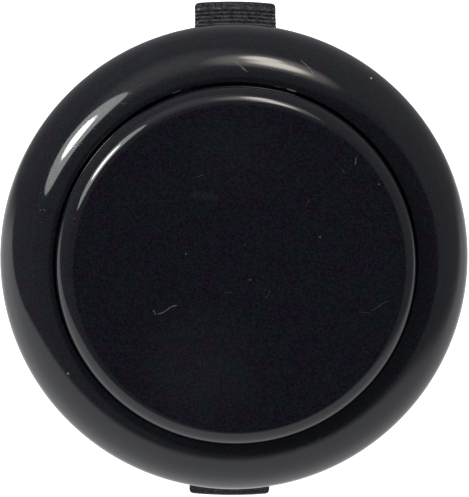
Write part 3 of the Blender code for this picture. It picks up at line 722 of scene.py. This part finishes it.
def make_bezel_and_barrel():
    """The bezel and the barrel, with the openings for the tabs, the hooks and the barbs."""
    chamfer = 0.35 * MM
    foot = 0.5 * MM
    land = 0.08 * MM  # rounding where the crown turns into the bore
    lip = BORE_RADIUS - 0.12 * MM  # the bore narrows a little at its mouth
    lip_top, lip_bottom = BEZEL_HEIGHT - 0.9 * MM, BEZEL_HEIGHT - 1.1 * MM
    neck = 0.2 * MM  # slope from the bezel's back to the barrel
    width, height = BEZEL_RADIUS - BORE_RADIUS, BEZEL_HEIGHT - BEZEL_EDGE
    crown = arc((BORE_RADIUS, BEZEL_EDGE), width, pi / 2, 0, 60, height)
    profile = (
        crown
        + arc((BEZEL_RADIUS - chamfer, chamfer), chamfer, 0, -pi / 2, 8)
        + [(BARREL_RADIUS + neck, 0.0), (BARREL_RADIUS, -neck)]
        + run((BARREL_RADIUS, -0.3 * MM), (BARREL_RADIUS, BARREL_BOTTOM + foot), 8)
        + arc((BARREL_RADIUS - foot, BARREL_BOTTOM + foot), foot, 0, -pi / 2, 5)
        + arc((BORE_RADIUS + land, BARREL_BOTTOM + land), land, -pi / 2, -pi, 3)
        + [(BORE_RADIUS, lip_bottom), (lip, lip_top)]
        + arc((lip + land, BEZEL_HEIGHT - land), land, pi, pi / 2, 5)
    )
    shell = lathe("bezel_and_barrel", profile)
    cutters = []
    for side in (1, -1):
        span = sorted((side * (BORE_RADIUS - 2 * MM), side * (BARREL_RADIUS + 1 * MM)))
        window = rounded((-WINDOW_HALF, WINDOW_HALF), (WINDOW_BOTTOM, WINDOW_TOP), 0.5 * MM)
        cutters.append(prism("window", window, "Y", span))
        hook_reach = (PLUNGER_BOTTOM - TRAVEL - FIT / 2, HOOK_TOP + FIT)
        hook = rounded((-SLOT_HALF, SLOT_HALF), hook_reach, 0.35 * MM)
        barb = rounded((-SLOT_HALF, SLOT_HALF), (BARB_BOTTOM - FIT, BARB_TOP), 0.35 * MM)
        cutters += [prism("slot", outline, "X", span) for outline in (hook, barb)]
    carve(shell, *cutters)
    finish(shell, GLOSS, "housing", "gloss_black_plastic", "body_shell")


def make_cap():
    """The button's cap and skirt, its two sprung legs with hooks, and the post under it."""
    inner = PLUNGER_RADIUS - SKIRT_WALL
    under = PLUNGER_TOP - PLATE_WALL
    head = PLUNGER_RADIUS + 0.06 * MM  # the skirt tapers in a little below the head
    neck = PLUNGER_TOP - PLUNGER_FILLET - 0.2 * MM
    fillet = arc((head - PLUNGER_FILLET, PLUNGER_TOP - PLUNGER_FILLET), PLUNGER_FILLET, pi / 2, 0, 24)
    ring_inner, ring_outer, ring_low = 7.1 * MM, 7.9 * MM, under - 1.2 * MM  # it centres the spring
    profile = (
        run((0.0, PLUNGER_TOP), fillet[0], 10)
        + fillet
        + run((head, neck), (PLUNGER_RADIUS, PLUNGER_BOTTOM), 5)
        + [(PLUNGER_RADIUS, PLUNGER_BOTTOM), (inner, PLUNGER_BOTTOM), (inner, under)]
        + [(ring_outer, under), (ring_outer, ring_low), (ring_inner, ring_low), (ring_inner, under)]
        + [(0.0, under)]
    )
    cap = lathe("cap", profile)

    # Notches for the tabs, and slits on both sides of each leg
    past = PLUNGER_BOTTOM - 1 * MM
    notch_half, notch_top = TAB_HALF_WIDTH + 0.5 * MM, TAB_TOP + TRAVEL + 2 * FIT
    leg_half, slit, slit_top = 3.0 * MM, 0.8 * MM, 1.5 * MM
    across = PLUNGER_RADIUS * 1.1
    cutters = []
    for side in (1, -1):
        wall = sorted((side * (inner - 1 * MM), side * (PLUNGER_RADIUS + 1 * MM)))
        notch = rounded((-notch_half, notch_half), (past, notch_top), 0.4 * MM)
        cutters.append(prism("notch", notch, "Y", wall))
        gap = sorted((side * leg_half, side * (leg_half + slit)))
        cutters.append(prism("slit", rounded(gap, (past, slit_top), 0.35 * MM), "X", (-across, across)))
    carve(cap, *cutters)

    # Hooks on the legs, and the post
    root, blunt, hook_edge = inner + 0.4 * MM, 0.1 * MM, HOOK_TOP - 0.5 * MM
    hook_half = leg_half - 0.4 * MM
    hook = [
        (root, HOOK_TOP),
        (HOOK_REACH - blunt, HOOK_TOP),
        (HOOK_REACH, HOOK_TOP - blunt),
        (HOOK_REACH, hook_edge),
        (PLUNGER_RADIUS, PLUNGER_BOTTOM),
        (root, PLUNGER_BOTTOM),
    ]
    hooks = [
        prism("hook", [(side * x, z) for x, z in hook], "Y", (-hook_half, hook_half)) for side in (1, -1)
    ]
    post_x, post_radius, tip = 3.0 * MM, 1.6 * MM, -3.24 * MM
    post_top = under + 0.8 * MM
    dome = arc((0.0, tip), post_radius, 0, -pi / 2, 12)
    post = lathe("post", [(0.0, post_top), (post_radius, post_top)] + dome, SMALL_STEPS)
    post.data.transform(Matrix.Translation((post_x, 0.0, 0.0)))
    merge(cap, post, *hooks)
    finish(cap, CAP_GLOSS, "button", "gloss_black_plastic", "plunger")


def tab_profile():
    """Section of a snap tab: root, ramp out to the lip, and the stepped slope that grips the panel."""
    lip_round = 0.3 * MM
    lip = arc((TAB_LIP_RADIUS - lip_round, TAB_LIP_Z), lip_round, -0.3 * pi, 0.5 * pi, 8)
    low, high = Vector(SLOPE_LOW), Vector(SLOPE_HIGH)
    step = (high - low) / RIDGES
    out = Vector((-step.y, step.x)) * -1.0
    out.normalize()
    ridges = []
    for i in range(RIDGES):
        foot = low + step * i
        for along, depth in RIDGE_SHAPE:
            ridges.append((*(foot + step * along - out * depth), depth))
    # The root is round about the hinge, so that it turns in the window without touching it
    root = arc(TAB_PIVOT, TAB_PIVOT[1] - WINDOW_BOTTOM - 0.1 * MM, -pi, 0.0, 12)
    ramp = [(14.75 * MM, -15.0 * MM)]
    inner = [(14.0 * MM, TAB_TOP), (14.3 * MM, TAB_LIP_Z - 1.9 * MM), (13.4 * MM, -14.5 * MM)]
    return root + ramp + lip + ridges + [tuple(high)] + inner


def tab_half_width(height, depth):
    """Half the tab's width at a height: it narrows below the lip, and each groove bites into the sides."""
    at_lip, taper, spread, bite = TAB_HALF_WIDTH + 0.10 * MM, 0.42 * MM, 0.05 * MM, 0.3
    taper_top, taper_length = TAB_LIP_Z - 0.6 * MM, 5 * MM
    below = clamp((taper_top - height) / taper_length)
    above = clamp((height - TAB_LIP_Z) / (TAB_TOP - TAB_LIP_Z))
    return at_lip - taper * below + spread * above - bite * depth


def make_tab(name, body, node, side):
    """A tab bowed a little across its width: its section is swept from one side to the other."""
    steps = 28
    edge_round, edge_share = 0.24 * MM, 0.1  # rounding at the sides, and its share of the half width
    outer_face = 14.5 * MM  # only points beyond this radius are rounded
    tip_reach = 0.9 * MM  # how far in from the lip the full rounding fades
    profile = [(*point, 0.0)[:3] for point in tab_profile()]
    rings = []
    for i in range(steps + 1):
        share = sin((2 * i / steps - 1) * pi / 2)
        past = max(0.0, abs(share) - (1 - edge_share)) / edge_share
        inset = edge_round * (1 - sqrt(max(0.0, 1 - past**2)))
        ring = []
        for radius, z, depth in profile:
            x = share * tab_half_width(z, depth)
            bow = TAB_BOW - sqrt(TAB_BOW**2 - x * x)
            tip = clamp((radius - TAB_LIP_RADIUS + tip_reach) / tip_reach)
            rounding = inset * (0.25 + 0.75 * tip) if radius > outer_face else 0.0
            ring.append((x * side, side * (radius - rounding - bow), z))
        rings.append(ring)
    tab = sweep(name, rings)
    finish(tab, MATT, body, "matt_black_plastic", node, angle=22)


def make_return_spring():
    """The coil under the cap: closed ends, open turns between."""
    wire = 0.3 * MM
    radius = SPRING_HIGH.x - wire
    low, high = SPRING_LOW.z + wire, SPRING_HIGH.z - wire
    turns, per_turn, sides = 5.5, 64, 14
    closed_rise = 2.2 * wire
    open_turns = turns - 2
    open_rise = (high - low - 2 * closed_rise) / open_turns
    steps = int(turns * per_turn)
    rings = []
    for i in range(steps + 1):
        turn = turns * i / steps
        middle = min(max(turn - 1, 0.0), open_turns)
        closed = min(turn, 1.0) + max(turn - 1 - open_turns, 0.0)
        z = low + closed_rise * closed + open_rise * middle
        angle = 2 * pi * turn
        out = Vector((cos(angle), sin(angle), 0.0))
        circle = arc((radius, z), wire, 0, 2 * pi * (1 - 1 / sides), sides - 1)
        rings.append([(*(out * r).xy, height) for r, height in circle])
    spring = sweep("coil_spring", rings)
    finish(spring, STEEL, "housing", "spring_steel", "return_spring")
    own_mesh(spring)


def terminal_side(name):
    """1 where a terminal's tail is at the low end of its box along X, and -1 where it is at the high end."""
    return -1 if name == "closed_terminal" else 1


def terminal_middle(name):
    """The middle of a terminal's tail along X."""
    low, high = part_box(name)
    return low.x + STRIP_THICK / 2 if terminal_side(name) > 0 else high.x - STRIP_THICK / 2


def pin_holes(radius):
    """Cutters for the two mounting pins."""
    x, z = PIN_MIDDLE.x, PIN_MIDDLE.z
    return [rod("pin_hole", radius, (side * x, 0, z), HOLE_REACH, "Y") for side in (1, -1)]


def make_switch_holder():
    """The base disc with its barbed arms and the two walls round the switch."""
    top = BARREL_BOTTOM + HOLDER_PLATE
    inner, outer = HOLDER_WALL
    edge = 0.3 * MM
    floor = top - 0.4 * MM  # sunk a little between the walls
    recess = BARREL_BOTTOM + 0.2 * MM  # underside, inside a flat rim
    rim = 11.0 * MM
    profile = (
        [(0.0, floor), (inner, floor), (inner, HOLDER_TOP - edge), (inner + edge, HOLDER_TOP)]
        + [(outer - edge, HOLDER_TOP), (outer, HOLDER_TOP - edge), (outer, top)]
        + [(HOLDER_RADIUS - edge, top)]
        + arc((HOLDER_RADIUS - edge, BARREL_BOTTOM + edge), edge, 0, -pi / 2, 4)
        + [(rim, BARREL_BOTTOM), (rim - 0.2 * MM, recess), (0.0, recess)]
    )
    holder = lathe("switch_base", profile)
    reach = HOLDER_RADIUS + 1 * MM
    aisle = rounded((-HOLDER_AISLE, HOLDER_AISLE), (top, HOLDER_TOP + 2 * MM), 0.2 * MM)
    cutters = [prism("aisle", aisle, "X", (-reach, reach))]
    slot_half, slot_spare = 0.4 * MM, 0.12 * MM
    for node in TERMINALS:
        low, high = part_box(node)
        place = terminal_middle(node)
        span_x, span_y = (place - slot_half, place + slot_half), (low.y - slot_spare, high.y + slot_spare)
        slot = rounded(span_x, span_y, 0.1 * MM, 3)
        cutters.append(prism("terminal_slot", slot, "Z", (BARREL_BOTTOM - 1 * MM, top + 1 * MM)))
    cutters += pin_holes(PIN_RADIUS + CLEAR)
    mark_circle, mark_radius, mark_depth = 7.0 * MM, 1.1 * MM, 0.08 * MM
    for angle in (60, 120, 240, 300):
        mark = direction(angle, 90) * mark_circle
        cutters.append(rod("ejector_mark", mark_radius, (mark.x, mark.y, recess), 2 * mark_depth, "Z"))
    carve(holder, *cutters)

    # The barbed arms
    arm_inner, arm_outer, arm_foot, arm_half = 11.2 * MM, 12.4 * MM, BARREL_BOTTOM + 0.6 * MM, 2.5 * MM
    blunt, barb_edge, barb_back = 0.15 * MM, 0.6 * MM, 12.5 * MM
    outline = [
        (arm_inner, arm_foot),
        (arm_outer, arm_foot),
        (arm_outer, BARB_BOTTOM),
        (HOOK_REACH - blunt, BARB_BOTTOM),
        (HOOK_REACH, BARB_BOTTOM + blunt),
        (HOOK_REACH, BARB_BOTTOM + barb_edge),
        (barb_back, BARB_TOP),
        (arm_inner, BARB_TOP),
    ]
    arms = []
    for side in (1, -1):
        arms.append(prism("arm", [(side * x, z) for x, z in outline], "Y", (-arm_half, arm_half)))
        ease(arms[-1], 0.06 * MM)
    merge(holder, *arms)
    finish(holder, BASE, "housing", "matt_black_plastic", "switch_holder")


def make_terminal(name):
    """A strip with a chamfered, pierced tail below the base and a stem up into the switch."""
    low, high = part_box(name)
    side, middle = terminal_side(name), terminal_middle(name)
    half_width = (high.y - low.y) / 2
    tip, hole_z, hole_radius = 0.6 * MM, low.z + 2.4 * MM, 0.65 * MM
    shoulder = low.z + tip * 1.3
    tail = [
        (-half_width + tip, low.z),
        (half_width - tip, low.z),
        (half_width, shoulder),
        (half_width, TAIL_TOP),
        (-half_width, TAIL_TOP),
        (-half_width, shoulder),
    ]
    strip = prism(name + "_strip", tail, "X", (middle - STRIP_THICK / 2, middle + STRIP_THICK / 2))
    carve(strip, rod("hole", hole_radius, (middle, 0, hole_z), 2 * MM, "X"))

    # The stem. On all but the common terminal, an arm at its top carries the contact
    foot = TAIL_TOP - 0.1 * MM
    near, far = middle - side * STEM_THICK / 2, middle + side * STEM_THICK / 2
    if name == "common_terminal":
        head = [(far, high.z)]
    else:
        end, shelf_low = high.x if side > 0 else low.x, high.z - STRIP_THICK
        head = [(end, high.z), (end, shelf_low), (far, shelf_low)]
    stem_half = half_width - 0.02 * MM
    stem = prism("stem", [(near, foot), (near, high.z), *head, (far, foot)], "Y", (-stem_half, stem_half))
    merge(strip, stem)
    if name != "common_terminal":
        rivet_x, rivet_radius = 6.0 * MM, 0.37 * MM
        spot = (rivet_x, 0, high.z - STRIP_THICK / 2)
        carve(strip, rod("rivet_hole", rivet_radius, spot, 2 * MM, "Z"))
    ease(strip, 0.05 * MM)
    finish(strip, TIN, "housing", "tinned_brass", name)


def make_switch_cover():
    """The microswitch's cover, with a shallow recess and its joint with the case closed up."""
    low, high = COVER_LOW, COVER_HIGH
    outline = rounded((low.x, high.x), (low.z, high.z), 0.5 * MM)
    cover = prism("switch_cover_plate", outline, "Y", (low.y, high.y + FIT - CLEAR))
    half, bottom, top, depth = 6.5 * MM, low.z + 3.6 * MM, high.z - 1.2 * MM, 0.12 * MM
    recess = rounded((-half, half), (bottom, top), 0.4 * MM)
    carve(cover, *pin_holes(1.0 * MM), prism("recess", recess, "Y", (low.y - 0.2 * MM, low.y + depth)))
    ease(cover, 0.08 * MM)
    tidy(cover)
    finish(cover, SWITCH, "housing", "switch_plastic", "switch_cover")


def make_pins():
    """The switch's two mounting pins and the lever's pin."""
    for node in ("switch_pin_left", "switch_pin_right", "lever_pin"):
        low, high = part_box(node)
        pin = rod(node + "_round", (high.x - low.x) / 2, (low + high) / 2, high.y - low.y, "Y")
        ease(pin, 0.1 * MM, 3)
        finish(pin, STEEL, "housing", "spring_steel", node)


def make_eased(node, material, slot, width):
    """A new piece with a CAD node's shape, its flat faces made whole and its edges eased."""
    piece = bpy.data.objects.new(node + "_eased", bpy.data.objects[node].data.copy())
    bpy.context.scene.collection.objects.link(piece)
    tidy(piece)
    shape = bmesh.new()
    shape.from_mesh(piece.data)
    bmesh.ops.dissolve_limit(shape, angle_limit=radians(1), verts=shape.verts, edges=shape.edges)
    shape.to_mesh(piece.data)
    shape.free()
    ease(piece, width)
    finish(piece, material, BODY_OF[node], slot, node)


make_camera()
make_world()
for lamp in KEY_LAMPS:
    make_lamp(*lamp)
make_floor()
GLOSS = gloss_plastic("gloss_black_plastic", BEZEL_MARKS_AND_GLINTS, wall_rough=0.42)
CAP_GLOSS = gloss_plastic("gloss_black_cap", CAP_MARKS, sheen_patches=CAP_PAINTED_SHEEN)
MATT = tab_plastic()
BASE = matt_plastic("base_black_plastic", (0.014, 0.014, 0.015), 0.42, 4000.0)[0]
SWITCH = matt_plastic("switch_plastic", (0.05, 0.05, 0.055), 0.5, 3500.0)[0]
RED = matt_plastic("actuator_plastic", (0.45, 0.03, 0.02), 0.4, 3500.0)[0]
STEEL = metal("spring_steel", (0.60, 0.59, 0.57), 0.26, 5000.0, 0.72)
TIN = metal("tinned_brass", (0.76, 0.74, 0.69), 0.30, 4000.0, 0.7)
COPPER = metal("copper_alloy", (0.80, 0.52, 0.33), 0.30, 4000.0, 0.65)
SILVER = metal("contact_silver", (0.86, 0.85, 0.82), 0.25, 4000.0, 0.75)
make_bezel_and_barrel()
make_cap()
make_tab("upper_tab", "upper_tab", "snap_tab_upper", 1)
make_tab("lower_tab", "lower_tab", "snap_tab_lower", -1)
make_return_spring()
make_switch_holder()
for terminal in TERMINALS:
    make_terminal(terminal)
make_switch_cover()
make_pins()
make_eased("switch_case", SWITCH, "switch_plastic", 0.06 * MM)
make_eased("switch_lever", STEEL, "spring_steel", 0.03 * MM)
make_eased("switch_actuator", RED, "actuator_plastic", 0.05 * MM)
for strip_part in ("contact_blade", "snap_spring"):
    make_eased(strip_part, COPPER, "copper_alloy", 0.02 * MM)
for rivet in ("moving_contact", "open_contact", "closed_contact"):
    make_eased(rivet, SILVER, "contact_silver", 0.05 * MM)
bpy.context.scene.view_settings.view_transform = "Standard"
